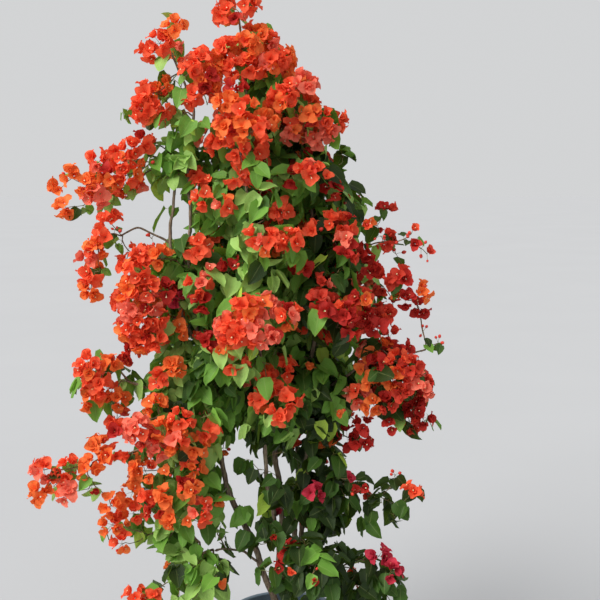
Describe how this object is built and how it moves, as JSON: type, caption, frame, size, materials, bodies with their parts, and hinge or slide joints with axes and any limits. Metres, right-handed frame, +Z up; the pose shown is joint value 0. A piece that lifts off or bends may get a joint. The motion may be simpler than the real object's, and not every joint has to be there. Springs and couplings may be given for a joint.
{
  "type": "potted bougainvillea bush",
  "caption": "Tall slim bougainvillea bush with arching sprays of orange-red bracts over heart-shaped green leaves, in a plain round slate-blue pot.",
  "frame": {"origin": "centre of the pot's flat underside", "axes": "+Z up, +X to the viewer's right, and -Y towards the viewer of the bush's front"},
  "size_m": [1.2712, 0.746, 2.2628],
  "materials": {
    "pot": "slate-blue moulded resin with a soft sheen and fine scuffs",
    "soil": "moist crumbly dark potting compost",
    "bark": "grey-brown furrowed bark on the stems, greener on young shoots",
    "leaf": "soft satin green leaves with pale veins",
    "bract": "thin papery orange-red bracts that glow against the light"
  },
  "bodies": {
    "root": {"bloom_arm_left": "bract", "bloom_back_left": "bract", "bloom_back_right": "bract", "bloom_back_top": "bract", "bloom_base_left": "bract", "bloom_centre": "bract", "bloom_centre_high": "bract", "bloom_chain_left": "bract", "bloom_crown_edge": "bract", "bloom_crown_front": "bract", "bloom_crown_left": "bract", "bloom_crown_right": "bract", "bloom_crown_top": "bract", "bloom_drop_left": "bract", "bloom_left_high": "bract", "bloom_left_lower": "bract", "bloom_left_middle": "bract", "bloom_left_under": "bract", "bloom_right_high": "bract", "bloom_right_inner": "bract", "bloom_right_lower": "bract", "bloom_right_middle": "bract", "bloom_tip_left": "bract", "bloom_tip_top": "bract", "bough_arm_left": "bark", "bough_back_right": "bark", "bough_base_left": "bark", "bough_base_right": "bark", "bough_chain_left": "bark", "bough_left_lower": "bark", "bough_right_edge": "bark", "bough_right_low": "bark", "leaves_arm_left": "leaf", "leaves_back_low": "leaf", "leaves_back_upper": "leaf", "leaves_base_front": "leaf", "leaves_base_left": "leaf", "leaves_base_right": "leaf", "leaves_crown": "leaf", "leaves_left_base": "leaf", "leaves_lower_left": "leaf", "leaves_lower_right": "leaf", "leaves_middle_left": "leaf", "leaves_middle_right": "leaf", "leaves_right_base": "leaf", "leaves_upper_left": "leaf", "leaves_upper_right": "leaf", "pot": "pot", "soil": "soil", "spray_back_right": "bract", "spray_left_low": "bract", "spray_right_edge": "bract", "spray_right_low": "leaf", "spray_right_tip": "bract", "stem_back": "bark", "stem_centre": "bark", "stem_front": "bark", "stem_left": "bark", "stem_right": "bark", "trunk": "bark"}
  },
  "joints": []
}
